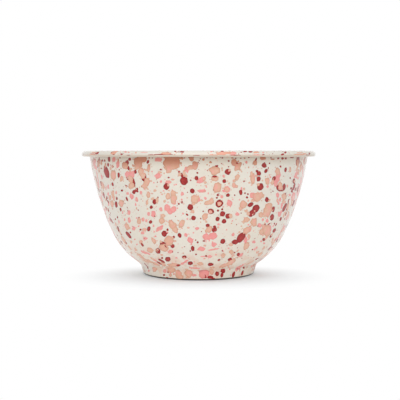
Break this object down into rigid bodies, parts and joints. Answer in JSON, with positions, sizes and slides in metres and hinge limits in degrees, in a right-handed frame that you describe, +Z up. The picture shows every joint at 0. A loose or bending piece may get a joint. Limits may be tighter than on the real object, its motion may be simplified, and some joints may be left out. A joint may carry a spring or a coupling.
{
  "type": "salad bowl",
  "caption": "Deep round salad bowl of enamelled sheet steel, with a rolled rim, a rounded belly and a tapered foot ring, cream with a spatter of coloured drops.",
  "frame": {"origin": "on the table, under the middle of the bowl", "axes": "+Z up along the bowl's axis; -Y towards the viewer of the picture"},
  "size_m": [0.26, 0.26, 0.136],
  "materials": {
    "sheet_steel": "bare low-carbon sheet steel under the enamel",
    "weld_steel": "weld metal as deposited",
    "inside_enamel": "glossy vitreous enamel, cream with spattered drops",
    "outside_enamel": "glossy vitreous enamel, cream with spattered drops",
    "underside_enamel": "glossy vitreous enamel, cream"
  },
  "bodies": {
    "root": {"bowl_body": "sheet_steel", "foot_ring": "sheet_steel", "foot_weld": "weld_steel", "inside_enamel": "inside_enamel", "outside_enamel": "outside_enamel", "underside_enamel": "underside_enamel"}
  },
  "joints": []
}
